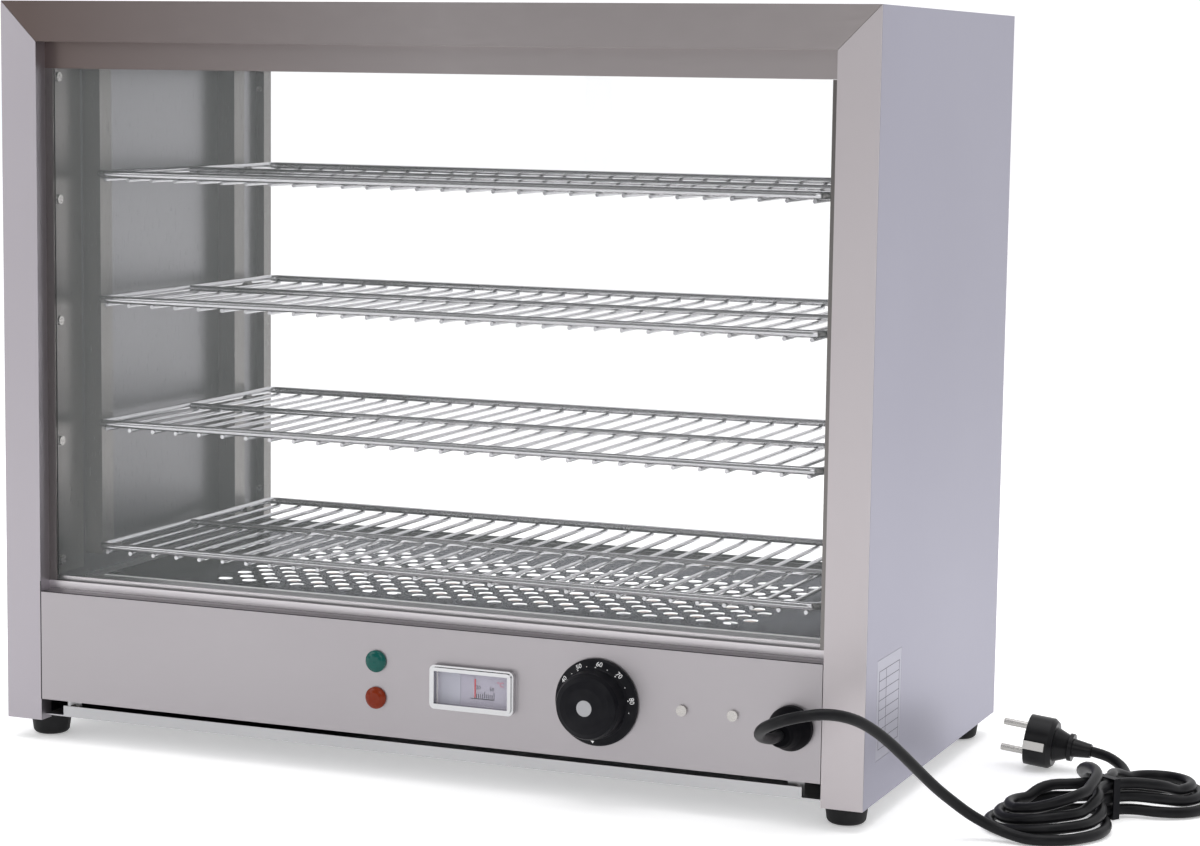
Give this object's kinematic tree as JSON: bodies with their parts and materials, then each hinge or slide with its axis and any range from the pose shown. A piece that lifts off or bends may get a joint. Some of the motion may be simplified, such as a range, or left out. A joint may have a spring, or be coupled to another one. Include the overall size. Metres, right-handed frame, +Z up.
{
  "type": "plate warmer cabinet",
  "caption": "Countertop heated display cabinet with a glass front, wire shelves, a perforated heated floor, a thermostat dial, a thermometer, sliding rear doors and a hanked mains cord",
  "frame": {"origin": "bottom centre of the bounding box of the cabinet without its cord, on the counter", "axes": "+X across the front to the viewer's right, +Y from the glass front towards the rear doors, +Z up"},
  "size_m": [0.8597, 0.4288, 0.54],
  "materials": {
    "zinc_sheet": "plain zinc coated sheet",
    "fasteners": "bright zinc",
    "skin_steel": "satin stainless sheet",
    "trim_steel": "satin stainless trim",
    "panel_steel": "satin stainless control panel",
    "liner_steel": "smooth stainless inner sheet",
    "seal_rubber": "black strip",
    "clear_glass": "clear float glass",
    "chromed_wire": "bright chromed wire",
    "heater_sheath": "heat darkened steel tube",
    "white_plastic": "off-white moulding",
    "black_plastic": "black moulding",
    "disc_metal": "bare disc",
    "copper_tube": "bare copper",
    "bezel_chrome": "bright chromed frame",
    "dial_card": "printed light card",
    "pointer_red": "red bar",
    "clear_window": "clear window",
    "green_lens": "clear green lens",
    "amber_lens": "clear amber lens",
    "wire_sleeve": "heat proof sleeve",
    "foot_rubber": "black rubber",
    "foil_plate": "bare foil plate",
    "cord_rubber": "black rubber cord",
    "plug_rubber": "black moulded plug"
  },
  "bodies": {
    "cabinet": {"base_pan": "zinc_sheet", "base_screws": "fasteners", "left_side_panel": "skin_steel", "right_side_panel": "skin_steel", "top_panel": "skin_steel", "trim_top": "trim_steel", "trim_left": "trim_steel", "trim_right": "trim_steel", "lintel": "trim_steel", "sill": "trim_steel", "glass_channel_left": "liner_steel", "glass_channel_right": "liner_steel", "glass_seal": "seal_rubber", "front_glass": "clear_glass", "left_liner": "liner_steel", "right_liner": "liner_steel", "ceiling_liner": "liner_steel", "liner_screws": "fasteners", "uprights_left": "liner_steel", "uprights_right": "liner_steel", "shelf_1": "chromed_wire", "shelf_2": "chromed_wire", "shelf_3": "chromed_wire", "shelf_4": "chromed_wire", "perforated_floor": "liner_steel", "heater_tray": "zinc_sheet", "heater_front": "heater_sheath", "heater_rear": "heater_sheath", "heater_clips": "zinc_sheet", "control_panel": "panel_steel", "panel_screws": "fasteners", "terminal_block": "white_plastic", "thermostat_body": "zinc_sheet", "thermostat_bulb": "copper_tube", "sensor_bulb": "copper_tube", "thermometer_case": "white_plastic", "thermometer_bezel": "bezel_chrome", "thermometer_dial": "dial_card", "thermometer_window": "clear_window", "lamp_green": "green_lens", "lamp_amber": "amber_lens", "lamp_bodies": "white_plastic", "inner_wiring": "wire_sleeve", "rear_posts": "liner_steel", "rear_top_track": "liner_steel", "rear_bottom_track": "liner_steel", "rear_lower_panel": "zinc_sheet", "feet": "foot_rubber", "rating_plate": "foil_plate", "cord_gland": "black_plastic", "cord_lead": "cord_rubber", "cord_hank": "cord_rubber", "cord_tie": "black_plastic", "mains_plug": "plug_rubber"},
    "dial": {"thermostat_shaft": "fasteners", "dial_knob": "black_plastic", "knob_disc": "disc_metal"},
    "pointer": {"thermometer_pointer": "pointer_red"},
    "left_door": {"door_left": "clear_glass"},
    "right_door": {"door_right": "clear_glass"}
  },
  "joints": [
    {"name": "dial_turn", "type": "hinge", "parent": "cabinet", "child": "dial", "pos_m": [0.1413, -0.156, 0.071], "axis": [0, 1, 0], "range_deg": [-90, 180]},
    {"name": "pointer_slide", "type": "slide", "parent": "cabinet", "child": "pointer", "axis": [1, 0, 0], "range_m": [0, 0.014]},
    {"name": "left_door_slide", "type": "slide", "parent": "cabinet", "child": "left_door", "axis": [1, 0, 0], "range_m": [0, 0.28]},
    {"name": "right_door_slide", "type": "slide", "parent": "cabinet", "child": "right_door", "axis": [1, 0, 0], "range_m": [-0.28, 0]}
  ]
}
